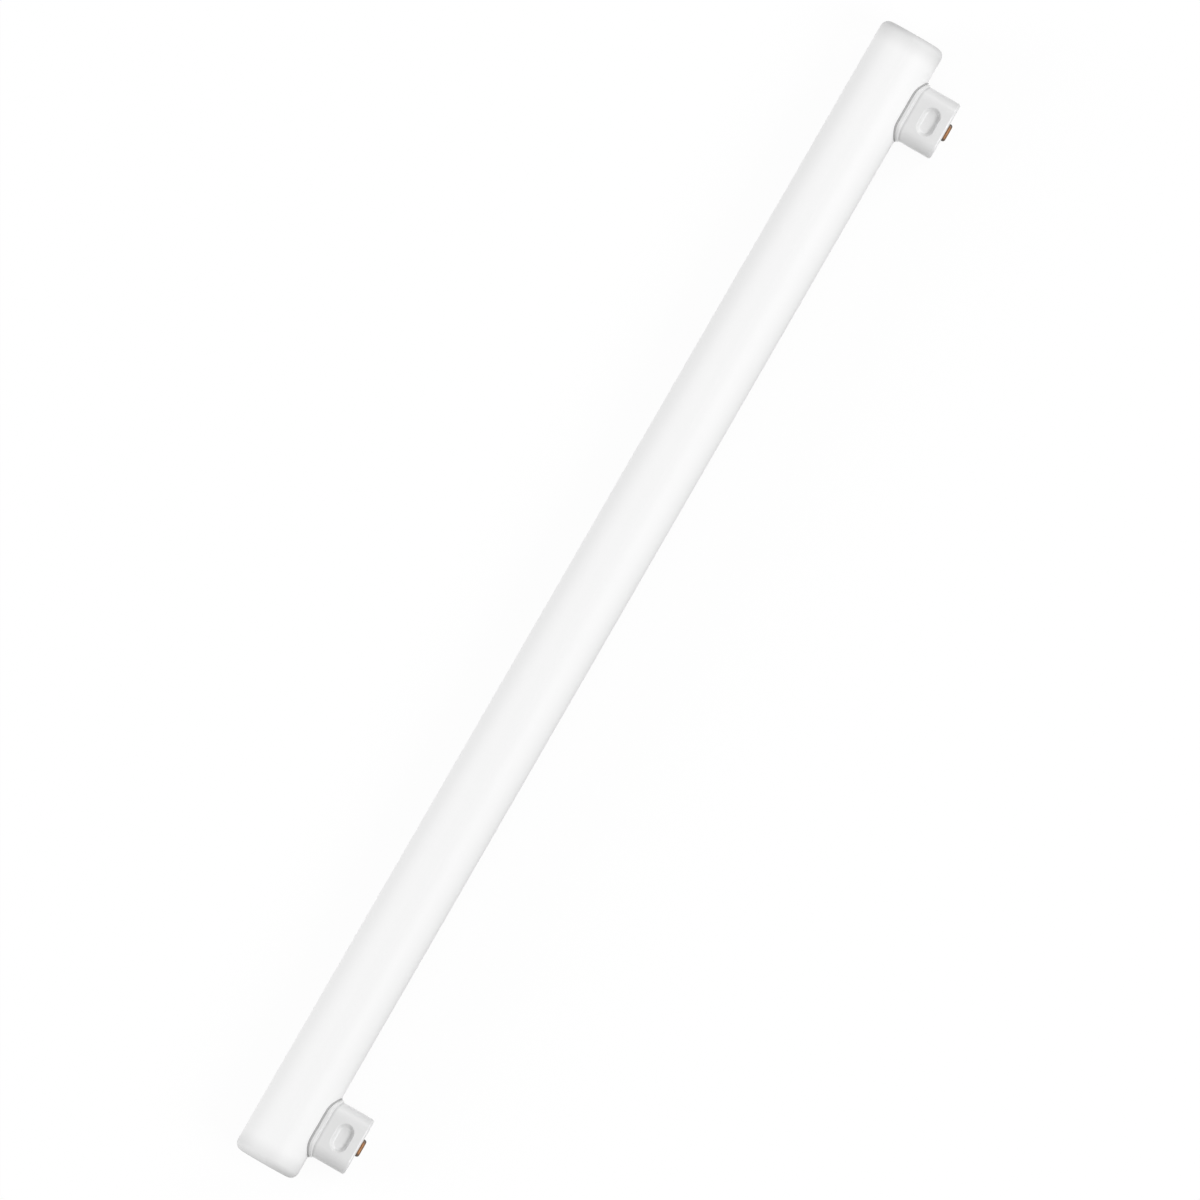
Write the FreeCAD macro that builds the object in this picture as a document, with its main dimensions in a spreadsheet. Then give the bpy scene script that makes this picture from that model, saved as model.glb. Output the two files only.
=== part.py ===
import FreeCAD, Part
import math
import os
import Sketcher

# Tubular lamp: an opal glass tube with two oblong cap pegs on its side.
#
# Each piece is drawn in the lamp's own axes: X runs along the tube's axis, Z points out through
# the caps and Y is square to both. The lamp then lies down as it comes to rest, on the tube and on
# the lower edges of the two end faces, so its own Z points forward (-Y of the row) and a little
# down. The row's origin is on the ground under the middle of the lamp's footprint.

# Driving sizes, in millimetres
SIZES = (
    ("tube_diameter", 26.8),
    ("tube_wall", 1.0),
    ("tube_end_corner", 3.3),
    ("cap_spacing", 450.0),
    ("right_overhang", 26.4),
    ("left_overhang", 23.6),
    ("cap_height", 15.3),
    ("cap_length", 24.0),
    ("cap_width", 14.0),
    ("cap_corner", 5.6),
    ("cap_wall", 2.8),
    ("cap_end_wall", 2.0),
    ("cap_end_edge", 1.0),
    ("flange_overhang", 1.1),
    ("flange_end_overhang", 0.55),
    ("flange_thickness", 1.0),
    ("flange_edge", 0.28),
    ("flange_root", 0.22),
    ("bed_thickness", 0.4),
    ("bed_outset", 0.4),
    ("bed_clearance", 0.05),
    ("dish_length", 11.8),
    ("dish_width", 6.9),
    ("dish_depth", 2.0),
    ("dish_slope", 1.2),
    ("dish_below_end", 7.6),
    ("dish_rim_edge", 0.45),
    ("dish_floor_edge", 0.8),
    ("contact_length", 7.3),
    ("contact_width", 4.6),
    ("contact_corner", 1.6),
    ("contact_stand", 1.4),
    ("contact_sheet", 0.4),
    ("contact_edge", 1.0),
    ("contact_brim", 0.9),
    ("contact_clearance", 0.1),
    ("wire_diameter", 1.4),
    ("wire_tail", 2.0),
    ("wire_shift", 3.6),
    ("wire_hole_clearance", 0.6),
)

# Derived sizes, as formulas over the sheet. The tube runs past each cap's middle by its overhang.
TUBE_LENGTH = "(Sizes.cap_spacing + Sizes.right_overhang + Sizes.left_overhang)"

# Distances from the tube's axis
TUBE_RADIUS = "(Sizes.tube_diameter / 2)"
BED_RADIUS = f"({TUBE_RADIUS} + Sizes.bed_thickness)"
SEAT_RADIUS = f"({BED_RADIUS} + Sizes.bed_clearance)"
FLANGE_RADIUS = f"({SEAT_RADIUS} + Sizes.flange_thickness)"
END_FACE = f"({TUBE_RADIUS} + Sizes.cap_height)"
END_WALL_INSIDE = f"({END_FACE} - Sizes.cap_end_wall)"
CONTACT_TOP = f"({END_FACE} + Sizes.contact_stand)"
DISH_CENTRE = f"({END_FACE} - Sizes.dish_below_end)"

# Distance of the dishes' floors from the lamp's middle plane
DISH_FLOOR = "(Sizes.cap_width / 2 - Sizes.dish_depth)"

# The dip of the pegs below level, from the tube and the rounded end-face edge touching the ground
EDGE_OUT = f"({END_FACE} - Sizes.cap_end_edge)"
EDGE_ACROSS = "(Sizes.cap_width / 2 - Sizes.cap_end_edge)"
EDGE_DROP = f"({TUBE_RADIUS} - Sizes.cap_end_edge)"
EDGE_REACH = f"sqrt({EDGE_OUT}^2 + {EDGE_ACROSS}^2)"
DIP_ANGLE = f"(asin({EDGE_DROP} / {EDGE_REACH}) - atan({EDGE_ACROSS} / {EDGE_OUT}))"
AXIS_BEHIND_ORIGIN = f"(({CONTACT_TOP} * cos({DIP_ANGLE}) - {TUBE_RADIUS}) / 2)"

# Where each cap stands along the tube
CAPS = (
    ("right", f"({TUBE_LENGTH} / 2 - Sizes.right_overhang)"),
    ("left", f"(Sizes.left_overhang - {TUBE_LENGTH} / 2)"),
)

doc = FreeCAD.newDocument("TubularLamp")
sheet = doc.addObject("Spreadsheet::Sheet", "Sizes")
for row, (alias, value) in enumerate(SIZES, start=1):
    sheet.set(f"A{row}", alias)
    sheet.set(f"B{row}", str(value))
    sheet.setAlias(f"B{row}", alias)
doc.recompute()


def value_of(formula):
    """The value of a formula over the sheet."""
    found = sheet.evalExpression(formula)
    return float(getattr(found, "Value", found))


def new_body(label, along="0"):
    """A body that lies as the lamp lies, moved along the tube by a formula."""
    body = doc.addObject("PartDesign::Body", label)
    body.Label = label
    body.Placement = FreeCAD.Placement(FreeCAD.Vector(), FreeCAD.Rotation(FreeCAD.Vector(1, 0, 0), 90))
    body.setExpression("Placement.Rotation.Angle", f"90 deg + {DIP_ANGLE}")
    body.setExpression("Placement.Base.x", along)
    body.setExpression("Placement.Base.y", AXIS_BEHIND_ORIGIN)
    body.setExpression("Placement.Base.z", TUBE_RADIUS)
    return body


def origin_plane(body, role):
    return next(f for f in body.Origin.OriginFeatures if f.Role == role)


def new_sketch(body, name, plane, off_plane="0", up_plane="0"):
    """A sketch on an origin plane, moved off it and along its own second axis by formulas."""
    sketch = body.newObject("Sketcher::SketchObject", name)
    sketch.AttachmentSupport = [(origin_plane(body, plane), "")]
    sketch.MapMode = "FlatFace"
    sketch.setExpression("AttachmentOffset.Base.z", off_plane)
    sketch.setExpression("AttachmentOffset.Base.y", up_plane)
    return sketch


def constrain(sketch, *constraints):
    for kind, *where in constraints:
        sketch.addConstraint(Sketcher.Constraint(kind, *where))


def bind(sketch, name, formula, kind, *where):
    """Adds a dimension whose size is a formula over the sheet."""
    sketch.addConstraint(Sketcher.Constraint(kind, *where, value_of(formula)))
    sketch.renameConstraint(sketch.ConstraintCount - 1, name)
    sketch.setExpression(f"Constraints.{name}", formula)


def point(x, y):
    return FreeCAD.Vector(x, y, 0)


def add_line(sketch, start, end):
    return sketch.addGeometry(Part.LineSegment(point(*start), point(*end)))


def add_arc(sketch, centre, radius, start_angle, end_angle):
    circle = Part.Circle(point(*centre), FreeCAD.Vector(0, 0, 1), radius)
    angles = (math.radians(start_angle), math.radians(end_angle))
    return sketch.addGeometry(Part.ArcOfCircle(circle, *angles))


def draw_circle(sketch, name, diameter, along="0"):
    """A circle on the sketch's first axis."""
    centre, radius = point(value_of(along), 0), value_of(diameter) / 2
    circle = sketch.addGeometry(Part.Circle(centre, FreeCAD.Vector(0, 0, 1), radius))
    constrain(sketch, ("PointOnObject", circle, 3, -1))
    bind(sketch, f"{name}_along", along, "DistanceX", -1, 1, circle, 3)
    bind(sketch, f"{name}_diameter", diameter, "Diameter", circle)


def draw_oblong(sketch, length, width, corner):
    """A rectangle with round corners about the sketch's origin."""
    r = value_of(corner)
    x, y = value_of(length) / 2 - r, value_of(width) / 2 - r
    centres = ((x, y), (-x, y), (-x, -y), (x, -y))
    sides = (
        ((x, y + r), (-x, y + r)),
        ((-x - r, y), (-x - r, -y)),
        ((-x, -y - r), (x, -y - r)),
        ((x + r, -y), (x + r, y)),
    )
    for i in range(4):
        add_arc(sketch, centres[i], r, 90 * i, 90 * (i + 1))
        add_line(sketch, *sides[i])
    for i in range(4):
        arc, side, next_arc = 2 * i, 2 * i + 1, (2 * i + 2) % 8
        constrain(
            sketch,
            ("Tangent", arc, 2, side, 1),
            ("Tangent", side, 2, next_arc, 1),
            ("Vertical" if i % 2 else "Horizontal", side),
        )
    constrain(sketch, ("Equal", 0, 2), ("Equal", 0, 4), ("Equal", 0, 6), ("Symmetric", 0, 3, 4, 3, -1, 1))
    bind(sketch, "corner", corner, "Radius", 0)
    bind(sketch, "between_corners_along", f"{length} - 2 * {corner}", "DistanceX", 4, 3, 0, 3)
    bind(sketch, "between_corners_across", f"{width} - 2 * {corner}", "DistanceY", 4, 3, 0, 3)


def draw_slot(sketch, length, width):
    """A slot outline with full round ends about the sketch's origin."""
    r = value_of(width) / 2
    x = value_of(length) / 2 - r
    add_arc(sketch, (x, 0), r, -90, 90)
    add_line(sketch, (x, r), (-x, r))
    add_arc(sketch, (-x, 0), r, 90, 270)
    add_line(sketch, (-x, -r), (x, -r))
    constrain(
        sketch,
        ("Tangent", 0, 2, 1, 1),
        ("Tangent", 1, 2, 2, 1),
        ("Tangent", 2, 2, 3, 1),
        ("Tangent", 3, 2, 0, 1),
        ("Horizontal", 1),
        ("Horizontal", 3),
        ("Symmetric", 0, 3, 2, 3, -1, 1),
    )
    bind(sketch, "end", f"{width} / 2", "Radius", 0)
    bind(sketch, "between_ends", f"{length} - {width}", "DistanceX", 2, 3, 0, 3)


def draw_tube_half(sketch, length, radius, corner):
    """Half the outline of a round tube with flat ends and round end corners, closed on its axis."""
    a, b, r = value_of(length) / 2, value_of(radius), value_of(corner)
    add_line(sketch, (-a, 0), (-a, b - r))
    add_arc(sketch, (r - a, b - r), r, 90, 180)
    add_line(sketch, (r - a, b), (a - r, b))
    add_arc(sketch, (a - r, b - r), r, 0, 90)
    add_line(sketch, (a, b - r), (a, 0))
    add_line(sketch, (a, 0), (-a, 0))
    constrain(
        sketch,
        ("Vertical", 0),
        ("Tangent", 0, 2, 1, 2),
        ("Tangent", 1, 1, 2, 1),
        ("Horizontal", 2),
        ("Tangent", 2, 2, 3, 2),
        ("Tangent", 3, 1, 4, 1),
        ("Vertical", 4),
        ("Coincident", 4, 2, 5, 1),
        ("Coincident", 5, 2, 0, 1),
        ("Equal", 1, 3),
        ("Symmetric", 5, 1, 5, 2, -1, 1),
        ("PointOnObject", 5, 1, -1),
    )
    bind(sketch, "corner", corner, "Radius", 1)
    bind(sketch, "length", length, "DistanceX", 5, 2, 5, 1)
    bind(sketch, "radius", radius, "DistanceY", 5, 1, 2, 2)


def draw_wire_path(sketch, shift, start, middle, end):
    """A straight run, two quarter bends that step it sideways, and a straight run."""
    r = value_of(shift) / 2
    z0, z1, z2 = value_of(start), value_of(middle), value_of(end)
    add_line(sketch, (-r, z0), (-r, z1 - r))
    add_arc(sketch, (0, z1 - r), r, 90, 180)
    add_arc(sketch, (0, z1 + r), r, 270, 360)
    add_line(sketch, (r, z1 + r), (r, z2))
    constrain(
        sketch,
        ("Vertical", 0),
        ("Tangent", 0, 2, 1, 2),
        ("Tangent", 1, 1, 2, 1),
        ("Tangent", 2, 2, 3, 1),
        ("Vertical", 3),
        ("Equal", 1, 2),
        ("PointOnObject", 1, 3, -2),
        ("PointOnObject", 2, 3, -2),
    )
    bind(sketch, "bend", f"{shift} / 2", "Radius", 1)
    bind(sketch, "start", start, "DistanceY", -1, 1, 0, 1)
    bind(sketch, "middle", middle, "DistanceY", -1, 1, 1, 1)
    bind(sketch, "end", end, "DistanceY", -1, 1, 3, 2)


def add_feature(body, kind, name, profile, formulas=None, **settings):
    """A sketch-based feature. Formulas are bound to the sheet, settings are set as they are."""
    feature = body.newObject(f"PartDesign::{kind}", name)
    feature.Profile = profile
    for key, setting in settings.items():
        setattr(feature, key, setting)
    for key, formula in (formulas or {}).items():
        feature.setExpression(key, formula)
    doc.recompute()
    return feature


def round_edges(body, name, picks, radius):
    """A fillet on the edges of the body's last feature whose points all pass a test."""
    base = body.Tip
    edges = enumerate(base.Shape.Edges, start=1)
    names = [f"Edge{i}" for i, edge in edges if all(picks(p) for p in edge.discretize(5))]
    fillet = body.newObject("PartDesign::Fillet", name)
    fillet.Base = (base, names)
    fillet.setExpression("Radius", radius)
    doc.recompute()


def at_height(formula):
    """Picks points at this distance from the XY plane."""
    height = value_of(formula)
    return lambda p: abs(p.z - height) < 1e-4


def at_radius(formula):
    """Picks points at this distance from the tube's axis."""
    radius = value_of(formula)
    return lambda p: abs(math.hypot(p.y, p.z) - radius) < 1e-4


def near_dish(across):
    """Picks points of the dishes' outlines at this distance from the XZ plane."""
    side, centre = value_of(across), value_of(DISH_CENTRE)
    half_length, half_width = value_of("Sizes.dish_length / 2"), value_of("Sizes.dish_width / 2")
    return lambda p: (
        abs(abs(p.y) - side) < 1e-4
        and abs(p.x) < half_length + 1e-4
        and abs(p.z - centre) < half_width + 1e-4
    )


def cut_round_tube(body, name, radius):
    """Cuts a cylinder about the tube's axis out of a piece that sits on it."""
    sketch = new_sketch(body, f"{name}_sketch", "YZ_Plane")
    draw_circle(sketch, "seat", f"2 * {radius}")
    add_feature(body, "Pocket", name, sketch, Type="ThroughAll", SideType="Symmetric")


def cut_outside(body, name, radius):
    """Leaves only what lies inside a cylinder about the tube's axis."""
    sketch = new_sketch(body, f"{name}_sketch", "YZ_Plane")
    draw_circle(sketch, "kept", f"2 * {radius}")
    draw_circle(sketch, "cut", f"4 * {radius}")
    add_feature(body, "Pocket", name, sketch, Type="ThroughAll", SideType="Symmetric")


def pad_oblong(body, name, outline, start, end):
    """Pads an oblong outline from one distance off the tube's axis to another."""
    sketch = new_sketch(body, f"{name}_sketch", "XY_Plane", off_plane=start)
    draw_oblong(sketch, *outline)
    add_feature(body, "Pad", name, sketch, {"Length": f"{end} - {start}"})


def cut_oblong(body, name, outline, start, end):
    """Pockets an oblong outline from one distance off the tube's axis out to another."""
    sketch = new_sketch(body, f"{name}_sketch", "XY_Plane", off_plane=start)
    draw_oblong(sketch, *outline)
    add_feature(body, "Pocket", name, sketch, {"Length": f"{end} - {start}"}, Reversed=True)


def grown_oblong(length, width, corner, growth):
    """The formulas of an oblong outline that lies outside another by a margin."""
    return (f"({length} + 2 * {growth})", f"({width} + 2 * {growth})", f"({corner} + {growth})")


CAP_OUTLINE = ("Sizes.cap_length", "Sizes.cap_width", "Sizes.cap_corner")
CAVITY_OUTLINE = grown_oblong(*CAP_OUTLINE, "(0 - Sizes.cap_wall)")
FLANGE_OUTLINE = (
    "(Sizes.cap_length + 2 * Sizes.flange_end_overhang)",
    "(Sizes.cap_width + 2 * Sizes.flange_overhang)",
    "(Sizes.cap_corner + Sizes.flange_overhang)",
)
BED_OUTLINE = grown_oblong(*FLANGE_OUTLINE, "Sizes.bed_outset")
CONTACT_OUTLINE = ("Sizes.contact_length", "Sizes.contact_width", "Sizes.contact_corner")
CONTACT_INSIDE = grown_oblong(*CONTACT_OUTLINE, "(0 - Sizes.contact_sheet)")
BRIM_OUTLINE = grown_oblong(*CONTACT_OUTLINE, "Sizes.contact_brim")
SLOT_OUTLINE = grown_oblong(*CONTACT_OUTLINE, "Sizes.contact_clearance")


def make_tube():
    """Opal glass tube, drawn with flat closed ends, with one small wire hole under each cap."""
    body = new_body("opal_tube")
    outside = new_sketch(body, "outside_sketch", "XY_Plane")
    draw_tube_half(outside, TUBE_LENGTH, TUBE_RADIUS, "Sizes.tube_end_corner")
    add_feature(body, "Revolution", "outside", outside, ReferenceAxis=(outside, ["H_Axis"]), Angle=360)
    inside = new_sketch(body, "inside_sketch", "XY_Plane")
    draw_tube_half(
        inside,
        f"({TUBE_LENGTH} - 2 * Sizes.tube_wall)",
        f"({TUBE_RADIUS} - Sizes.tube_wall)",
        "(Sizes.tube_end_corner - Sizes.tube_wall)",
    )
    add_feature(body, "Groove", "inside", inside, ReferenceAxis=(inside, ["H_Axis"]), Angle=360)
    holes = new_sketch(body, "wire_holes_sketch", "XY_Plane")
    hole_diameter = "(Sizes.wire_diameter + 2 * Sizes.wire_hole_clearance)"
    for name, cap_place in CAPS:
        draw_circle(holes, name, hole_diameter, f"{cap_place} - Sizes.wire_shift / 2")
    add_feature(body, "Pocket", "wire_holes", holes, Type="ThroughAll", Reversed=True)


def make_housing(side, cap_place):
    """Moulded cap peg: a saddle flange, an oblong hollow body and a dished latch recess each side."""
    body = new_body(f"{side}_cap_housing", cap_place)
    pad_oblong(body, "flange", FLANGE_OUTLINE, "0", FLANGE_RADIUS)
    cut_outside(body, "flange_top", FLANGE_RADIUS)
    round_edges(body, "flange_edge", at_radius(FLANGE_RADIUS), "Sizes.flange_edge")
    pad_oblong(body, "peg", CAP_OUTLINE, "0", END_FACE)
    round_edges(body, "flange_root", at_radius(FLANGE_RADIUS), "Sizes.flange_root")
    round_edges(body, "end_edge", at_height(END_FACE), "Sizes.cap_end_edge")
    cut_round_tube(body, "tube_seat", SEAT_RADIUS)
    cut_oblong(body, "cavity", CAVITY_OUTLINE, "0", END_WALL_INSIDE)
    cut_oblong(body, "contact_slot", SLOT_OUTLINE, END_WALL_INSIDE, END_FACE)
    cut_dishes(body)


def cut_dishes(body):
    """The dished recesses of the two long sides, where the lamp holder's springs latch."""
    rim = new_sketch(body, "dish_rim_sketch", "XZ_Plane", "Sizes.cap_width / 2", DISH_CENTRE)
    draw_slot(rim, "Sizes.dish_length", "Sizes.dish_width")
    floor = new_sketch(body, "dish_floor_sketch", "XZ_Plane", DISH_FLOOR, DISH_CENTRE)
    floor_length = "(Sizes.dish_length - 2 * Sizes.dish_slope)"
    floor_width = "(Sizes.dish_width - 2 * Sizes.dish_slope)"
    draw_slot(floor, floor_length, floor_width)
    dish = add_feature(body, "SubtractiveLoft", "dish", rim, Sections=[floor], Ruled=True)
    both = body.newObject("PartDesign::Mirrored", "dish_both_sides")
    both.Originals = [dish]
    both.MirrorPlane = (origin_plane(body, "XZ_Plane"), [""])
    body.Tip = both
    doc.recompute()
    round_edges(body, "dish_rim", near_dish("Sizes.cap_width / 2"), "Sizes.dish_rim_edge")
    round_edges(body, "dish_floor", near_dish(DISH_FLOOR), "Sizes.dish_floor_edge")


def make_bed(side, cap_place):
    """Cement bed: a thin saddle-shaped ring between the tube and the flange."""
    body = new_body(f"{side}_cap_bed", cap_place)
    pad_oblong(body, "ring", BED_OUTLINE, "0", BED_RADIUS)
    cut_outside(body, "ring_top", BED_RADIUS)
    cut_round_tube(body, "tube_seat", TUBE_RADIUS)
    cut_oblong(body, "opening", CAVITY_OUTLINE, "0", BED_RADIUS)


def make_contact(side, cap_place):
    """Contact button: a cup drawn from copper sheet, its brim under the housing's end wall."""
    body = new_body(f"{side}_contact", cap_place)
    brim_under = f"({END_WALL_INSIDE} - Sizes.contact_sheet)"
    pad_oblong(body, "brim", BRIM_OUTLINE, brim_under, END_WALL_INSIDE)
    pad_oblong(body, "cup", CONTACT_OUTLINE, brim_under, CONTACT_TOP)
    round_edges(body, "cup_edge", at_height(CONTACT_TOP), "Sizes.contact_edge")
    crown_under = f"({CONTACT_TOP} - Sizes.contact_sheet)"
    cut_oblong(body, "cup_inside", CONTACT_INSIDE, brim_under, crown_under)
    inside_edge = "(Sizes.contact_edge - Sizes.contact_sheet)"
    round_edges(body, "cup_inside_edge", at_height(crown_under), inside_edge)


def make_wire(side, cap_place):
    """Lead wire, from inside the tube through its hole to the underside of the contact's crown."""
    body = new_body(f"{side}_lead_wire", cap_place)
    start = f"({TUBE_RADIUS} - Sizes.tube_wall - Sizes.wire_tail)"
    middle = f"(({TUBE_RADIUS} + {END_WALL_INSIDE}) / 2)"
    end = f"({CONTACT_TOP} - Sizes.contact_sheet)"
    path = new_sketch(body, "path_sketch", "XZ_Plane")
    draw_wire_path(path, "Sizes.wire_shift", start, middle, end)
    section = new_sketch(body, "section_sketch", "XY_Plane", off_plane=start)
    draw_circle(section, "wire", "Sizes.wire_diameter", "0 - Sizes.wire_shift / 2")
    path_edges = [f"Edge{i}" for i in range(1, 5)]
    add_feature(body, "AdditivePipe", "wire", section, Spine=(path, path_edges))


make_tube()
for side, cap_place in CAPS:
    make_housing(side, cap_place)
    make_bed(side, cap_place)
    make_contact(side, cap_place)
    make_wire(side, cap_place)
doc.recompute()

for obj in doc.Objects:
    if "Invalid" in obj.State or "Error" in obj.State:
        raise RuntimeError(f"{obj.Name} did not compute: {obj.State}")

os.makedirs("parts", exist_ok=True)
for body in doc.findObjects("PartDesign::Body"):
    if body.Shape.isNull() or not body.Shape.isValid() or len(body.Shape.Solids) != 1:
        raise RuntimeError(f"{body.Label} is not one valid solid")
    body.Shape.exportStep(f"parts/{body.Label}.step")
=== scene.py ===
from math import cos, radians, sin

import bpy
from mathutils import Matrix, Vector


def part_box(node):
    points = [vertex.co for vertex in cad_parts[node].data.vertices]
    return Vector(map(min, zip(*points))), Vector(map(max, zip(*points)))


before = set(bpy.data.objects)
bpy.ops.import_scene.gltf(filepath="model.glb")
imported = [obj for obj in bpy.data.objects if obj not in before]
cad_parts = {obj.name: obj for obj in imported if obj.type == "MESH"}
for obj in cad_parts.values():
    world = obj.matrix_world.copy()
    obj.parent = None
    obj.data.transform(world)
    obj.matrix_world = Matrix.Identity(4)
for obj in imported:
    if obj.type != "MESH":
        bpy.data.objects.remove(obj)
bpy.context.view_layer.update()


# The tube: one length of opal glass, drawn, then closed flat at both ends while hot. It is
# milky right through and satin outside, with faint streaks along it from the drawing. Over
# its last centimetre at each end the colour is painted greyer: painted shade on the closed ends.
def new_finish(name):
    finish = bpy.data.materials.new(name)
    finish.use_nodes = True
    return finish, finish.node_tree, finish.node_tree.nodes["Principled BSDF"]


def grey(level):
    return (level, level, level)


def place_of(tree):
    return tree.nodes.new("ShaderNodeTexCoord").outputs["Object"]


def mottle(tree, per_metre, detail=2.0, along=1.0):
    noise = tree.nodes.new("ShaderNodeTexNoise")
    noise.inputs["Scale"].default_value = per_metre
    noise.inputs["Detail"].default_value = detail
    stretch = tree.nodes.new("ShaderNodeMapping")
    stretch.inputs["Scale"].default_value = (along, 1, 1)
    tree.links.new(place_of(tree), stretch.inputs["Vector"])
    tree.links.new(stretch.outputs["Vector"], noise.inputs["Vector"])
    return noise.outputs["Fac"]


def between(tree, value, low, high, start=0.0, end=1.0, curve="LINEAR"):
    ramp = tree.nodes.new("ShaderNodeMapRange")
    ramp.interpolation_type = curve
    ramp.inputs["From Min"].default_value = start
    ramp.inputs["From Max"].default_value = end
    ramp.inputs["To Min"].default_value = low
    ramp.inputs["To Max"].default_value = high
    tree.links.new(value, ramp.inputs["Value"])
    return ramp.outputs["Result"]


def shades(tree, value, low_shade, high_shade):
    mix = tree.nodes.new("ShaderNodeMix")
    mix.data_type = "RGBA"
    for socket, shade in ((mix.inputs["A"], low_shade), (mix.inputs["B"], high_shade)):
        if isinstance(shade, tuple):
            socket.default_value = (*shade, 1)
        else:
            tree.links.new(shade, socket)
    tree.links.new(value, mix.inputs["Factor"])
    return mix.outputs["Result"]


def x_of(tree):
    parts = tree.nodes.new("ShaderNodeSeparateXYZ")
    tree.links.new(place_of(tree), parts.inputs["Vector"])
    return parts.outputs["X"]


def apart(tree, value, middle):
    shift = tree.nodes.new("ShaderNodeMath")
    shift.operation = "SUBTRACT"
    tree.links.new(value, shift.inputs[0])
    shift.inputs[1].default_value = middle
    size = tree.nodes.new("ShaderNodeMath")
    size.operation = "ABSOLUTE"
    tree.links.new(shift.outputs[0], size.inputs[0])
    return size.outputs[0]


def relief(tree, shader, value, height):
    bump = tree.nodes.new("ShaderNodeBump")
    bump.inputs["Distance"].default_value = height
    tree.links.new(value, bump.inputs["Height"])
    tree.links.new(bump.outputs["Normal"], shader.inputs["Normal"])


def dress(finish, *nodes):
    for node in nodes:
        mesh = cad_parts[node].data
        mesh.materials.clear()
        mesh.materials.append(finish)
        for face in mesh.polygons:
            face.material_index = 0


tube_low, tube_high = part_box("opal_tube")
END_SHADE_STARTS, END_SHADE_FULL = tube_high.x - 0.0095, tube_high.x - 0.001
milk_glass, tree, shader = new_finish("milk_glass")
streaks = mottle(tree, 220.0, along=0.03)
clear_run = shades(tree, streaks, grey(0.90), grey(0.92))
# Painted shade: the base colour darkens to grey over the last centimetre at each end
painted_end_shade = between(tree, apart(tree, x_of(tree), 0.0), 0.0, 1.0,
                   start=END_SHADE_STARTS, end=END_SHADE_FULL, curve="SMOOTHSTEP")
tree.links.new(shades(tree, painted_end_shade, clear_run, grey(0.76)), shader.inputs["Base Color"])
tree.links.new(between(tree, mottle(tree, 60.0), 0.42, 0.56), shader.inputs["Roughness"])
relief(tree, shader, streaks, height=0.000012)
shader.inputs["IOR"].default_value = 1.5
shader.inputs["Specular IOR Level"].default_value = 0.2
dress(milk_glass, "opal_tube")

# The beds: a thin ring of grey cement between each cap's saddle and the glass. It is
# pressed out when the cap is set down, and shows as a fine grey line, its grey made darker as
# painted shade in the gap.
cement_and_painted_shade, tree, shader = new_finish("cement_and_painted_shade")
# The cement's grey is partly its own colour and partly painted shade for the gap under the saddle
cement_grains_and_shade = shades(tree, mottle(tree, 2200.0, detail=4.0), grey(0.29), grey(0.55))
tree.links.new(cement_grains_and_shade, shader.inputs["Base Color"])
tree.links.new(between(tree, mottle(tree, 900.0), 0.75, 1.0), shader.inputs["Roughness"])
relief(tree, shader, mottle(tree, 3000.0, detail=4.0), height=0.00005)
dress(cement_and_painted_shade, "right_cap_bed", "left_cap_bed")

# The lead wires: copper in a woven white glass sleeve, from inside the tube through the
# glass to the underside of each contact.
woven_sleeve, tree, shader = new_finish("woven_sleeve")
threads = shades(tree, mottle(tree, 1500.0), (0.56, 0.54, 0.50), (0.84, 0.83, 0.80))
tree.links.new(threads, shader.inputs["Base Color"])
tree.links.new(between(tree, mottle(tree, 1200.0), 0.6, 0.8), shader.inputs["Roughness"])
relief(tree, shader, mottle(tree, 2500.0), height=0.00008)
dress(woven_sleeve, "right_lead_wire", "left_lead_wire")

# The cap housings: one moulding each of white heat-proof plastic. The polished mould gives
# them a bright skin, over a faint flow mottle and a very fine grain. The narrow root, where
# the body rises out of the saddle flange, is painted darker: painted shade in the crease.
def far_from_axis(tree, axis):
    offset = tree.nodes.new("ShaderNodeVectorMath")
    offset.operation = "SUBTRACT"
    offset.inputs[1].default_value = axis
    tree.links.new(place_of(tree), offset.inputs[0])
    across = tree.nodes.new("ShaderNodeVectorMath")
    across.operation = "MULTIPLY"
    across.inputs[1].default_value = (0, 1, 1)
    tree.links.new(offset.outputs["Vector"], across.inputs[0])
    length = tree.nodes.new("ShaderNodeVectorMath")
    length.operation = "LENGTH"
    tree.links.new(across.outputs["Vector"], length.inputs[0])
    return length.outputs["Value"]


def both(tree, first, second):
    product = tree.nodes.new("ShaderNodeMath")
    product.operation = "MULTIPLY"
    tree.links.new(first, product.inputs[0])
    tree.links.new(second, product.inputs[1])
    return product.outputs[0]


tube_middle = (tube_low + tube_high) / 2
# Distances from the tube's axis
FLANGE_FACE = 0.01485
ROOT_SHADE_FULL, ROOT_SHADE_THINS, ROOT_SHADE_ENDS = (FLANGE_FACE + rise for rise in (0.00006, 0.0001, 0.0011))
white_plastic, tree, shader = new_finish("white_plastic")
moulded = shades(tree, mottle(tree, 260.0), grey(0.745), grey(0.775))
height = far_from_axis(tree, tube_middle)
# Painted shade in the crease: darkest just above the flange face, fading out 1.1 mm higher
painted_root_shade = both(tree,
               between(tree, height, 0.0, 1.0, start=FLANGE_FACE, end=ROOT_SHADE_FULL),
               between(tree, height, 1.0, 0.0, start=ROOT_SHADE_THINS, end=ROOT_SHADE_ENDS,
                       curve="SMOOTHSTEP"))
tree.links.new(shades(tree, painted_root_shade, moulded, grey(0.60)), shader.inputs["Base Color"])
tree.links.new(between(tree, mottle(tree, 1800.0), 0.22, 0.38), shader.inputs["Roughness"])
relief(tree, shader, mottle(tree, 4000.0, detail=3.0), height=0.000006)
shader.inputs["Specular IOR Level"].default_value = 0.1
shader.inputs["Coat Weight"].default_value = 1.0
shader.inputs["Coat Roughness"].default_value = 0.28
dress(white_plastic, "right_cap_housing", "left_cap_housing")
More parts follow.
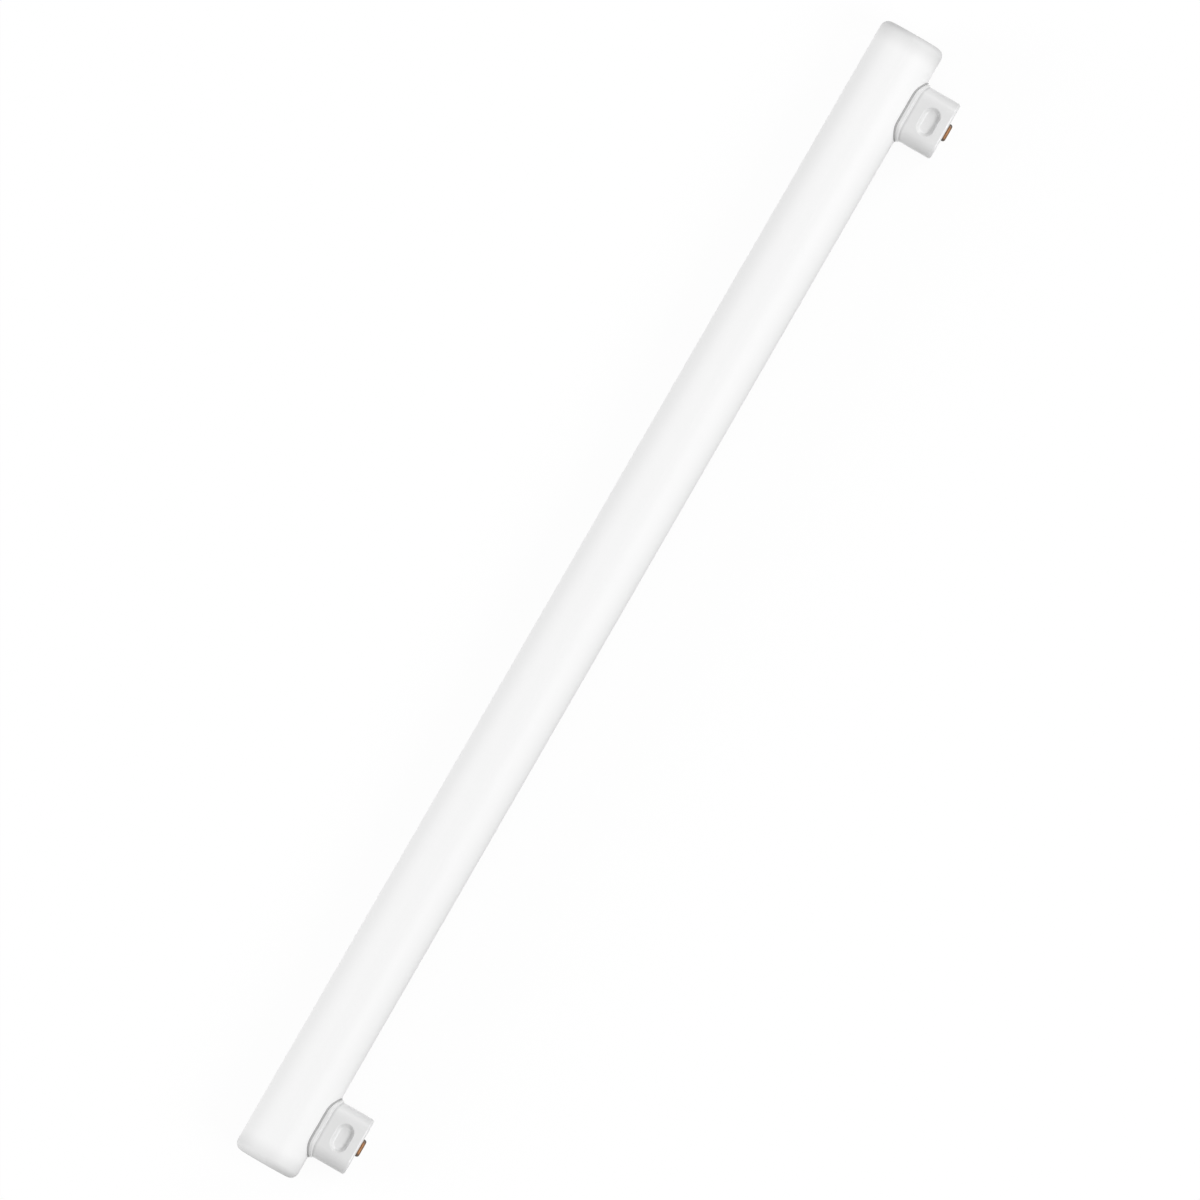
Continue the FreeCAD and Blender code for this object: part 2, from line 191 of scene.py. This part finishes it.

# The contacts: a button drawn from copper sheet in the middle of each end face. Air has
# dulled the copper to a brown. The rounded ends are painted darker and greyer: painted shade.
# Distances along the lamp from the contact's middle
ROUNDING_SHADE_STARTS, CONTACT_HALF = 0.0018, 0.0034
right_end, left_end = (sum((v.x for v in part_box(node))) / 2
                       for node in ("right_contact", "left_contact"))
caps_middle, caps_half = (right_end + left_end) / 2, (right_end - left_end) / 2
dulled_copper, tree, shader = new_finish("dulled_copper")
copper_middle = shades(tree, mottle(tree, 700.0, detail=4.0), (0.125, 0.061, 0.03), (0.30, 0.154, 0.075))
# Painted shade: the copper turns darker and greyer towards the contact's rounded ends
from_contact = apart(tree, apart(tree, x_of(tree), caps_middle), caps_half)
painted_rounding_shade = between(tree, from_contact, 0.0, 1.0, start=ROUNDING_SHADE_STARTS, end=CONTACT_HALF,
                  curve="SMOOTHSTEP")
tree.links.new(shades(tree, painted_rounding_shade, copper_middle, (0.13, 0.11, 0.095)), shader.inputs["Base Color"])
tree.links.new(between(tree, mottle(tree, 1500.0), 0.3, 0.6), shader.inputs["Roughness"])
relief(tree, shader, mottle(tree, 2500.0), height=0.000015)
shader.inputs["Metallic"].default_value = 1.0
dress(dulled_copper, "right_contact", "left_contact")

# The table under the lamp: a plain white floor. Seen by the camera it is as white as
# the background, with the lamp's soft shadow left on it.
FLOOR_HALF = 4.0
FLOOR_LIT = 0.25
SHOWN_WHITE = 1.0
SHADOW_SHARE = 0.06
mesh = bpy.data.meshes.new("white_floor")
mesh.from_pydata([(-FLOOR_HALF, -FLOOR_HALF, 0), (FLOOR_HALF, -FLOOR_HALF, 0),
                  (FLOOR_HALF, FLOOR_HALF, 0), (-FLOOR_HALF, FLOOR_HALF, 0)],
                 [], [(0, 1, 2, 3)])
white_floor = bpy.data.objects.new("white_floor", mesh)
bpy.context.scene.collection.objects.link(white_floor)


def seen_rays(tree):
    path = tree.nodes.new("ShaderNodeLightPath")
    seen = path.outputs["Is Camera Ray"]
    for kind in ("Is Glossy Ray", "Is Transmission Ray"):
        most = tree.nodes.new("ShaderNodeMath")
        most.operation = "MAXIMUM"
        tree.links.new(seen, most.inputs[0])
        tree.links.new(path.outputs[kind], most.inputs[1])
        seen = most.outputs[0]
    return seen


floor_white = bpy.data.materials.new("floor_white")
floor_white.use_nodes = True
tree = floor_white.node_tree
tree.nodes.clear()
lit = tree.nodes.new("ShaderNodeBsdfDiffuse")
lit.inputs["Color"].default_value = (*grey(FLOOR_LIT), 1)
shadow_catch = tree.nodes.new("ShaderNodeBsdfDiffuse")
shadow_catch.inputs["Color"].default_value = (*grey(1), 1)
glow = tree.nodes.new("ShaderNodeEmission")
glow.inputs["Strength"].default_value = SHOWN_WHITE
shown = tree.nodes.new("ShaderNodeMixShader")
shown.inputs["Fac"].default_value = SHADOW_SHARE
tree.links.new(glow.outputs[0], shown.inputs[1])
tree.links.new(shadow_catch.outputs[0], shown.inputs[2])
either = tree.nodes.new("ShaderNodeMixShader")
tree.links.new(seen_rays(tree), either.inputs["Fac"])
tree.links.new(lit.outputs[0], either.inputs[1])
tree.links.new(shown.outputs[0], either.inputs[2])
out = tree.nodes.new("ShaderNodeOutputMaterial")
tree.links.new(either.outputs[0], out.inputs["Surface"])
mesh.materials.append(floor_white)

# The light: an even pale room and three large soft boxes six metres off: one above on the
# caps' side, one beyond the upper end, and one low behind the tube and towards its lower
# end. The room shows as white.
ROOM_LIGHT = 0.49
BOX_DISTANCE, BOX_SIDE = 6.0, 2.6
PEG_DIP = radians(13.7231)
out_of_tube = Vector((0, -cos(PEG_DIP), -sin(PEG_DIP)))
towards_camera = Vector((0, -sin(PEG_DIP), cos(PEG_DIP)))
along_tube = Vector((1, 0, 0))

room = bpy.data.worlds.new("pale_room")
bpy.context.scene.world = room
room.use_nodes = True
tree = room.node_tree
tree.nodes.clear()
ambient = tree.nodes.new("ShaderNodeBackground")
ambient.inputs["Strength"].default_value = ROOM_LIGHT
backdrop = tree.nodes.new("ShaderNodeBackground")
backdrop.inputs["Strength"].default_value = SHOWN_WHITE
for background in (ambient, backdrop):
    background.inputs["Color"].default_value = (*grey(1), 1)
either = tree.nodes.new("ShaderNodeMixShader")
tree.links.new(seen_rays(tree), either.inputs["Fac"])
tree.links.new(ambient.outputs[0], either.inputs[1])
tree.links.new(backdrop.outputs[0], either.inputs[2])
out = tree.nodes.new("ShaderNodeOutputWorld")
tree.links.new(either.outputs[0], out.inputs["Surface"])


def soft_box(name, direction, watts):
    light = bpy.data.lights.new(name, "AREA")
    light.shape = "SQUARE"
    light.size = BOX_SIDE
    light.energy = watts
    box = bpy.data.objects.new(name, light)
    box.location = tube_middle + direction.normalized() * BOX_DISTANCE
    box.rotation_euler = direction.to_track_quat("Z", "Y").to_euler()
    bpy.context.scene.collection.objects.link(box)


soft_box("cap_side_box", out_of_tube * 0.643 + towards_camera * 0.766, watts=160)
soft_box("upper_end_box",
         along_tube * 0.814 + out_of_tube * 0.296 + towards_camera * 0.5, watts=100)
soft_box("tube_side_box",
         along_tube * -0.42 - out_of_tube * 0.90 + towards_camera * 0.105, watts=192)

# The camera: square to the flat sides of the caps, above the lying lamp and far back on a
# long lens, turned so that the tube leans 30 degrees to the right.
TUBE_LEAN = radians(29.99)
METRES_PER_PIXEL = 0.38385e-3
FRAME_PIXELS = 1200
# Pixels of the frame, from the tube's middle
AIM_RIGHT, AIM_DOWN = 10.49, 0.61
LENS, SENSOR = 800.0, 36.0
FARTHEST = 50.0
right = along_tube * sin(TUBE_LEAN) + out_of_tube * cos(TUBE_LEAN)
up = along_tube * cos(TUBE_LEAN) - out_of_tube * sin(TUBE_LEAN)
aim = tube_middle + (right * AIM_RIGHT - up * AIM_DOWN) * METRES_PER_PIXEL
camera_data = bpy.data.cameras.new("camera")
camera_data.lens = LENS
camera_data.sensor_width = SENSOR
camera_data.clip_end = FARTHEST
camera = bpy.data.objects.new("camera", camera_data)
distance = FRAME_PIXELS * METRES_PER_PIXEL * LENS / SENSOR
turn = Matrix((right, up, towards_camera)).transposed()
camera.matrix_world = Matrix.Translation(aim + towards_camera * distance) @ turn.to_4x4()
bpy.context.scene.collection.objects.link(camera)
bpy.context.scene.camera = camera

bpy.context.scene.view_settings.view_transform = "Standard"

bpy.context.view_layer.update()
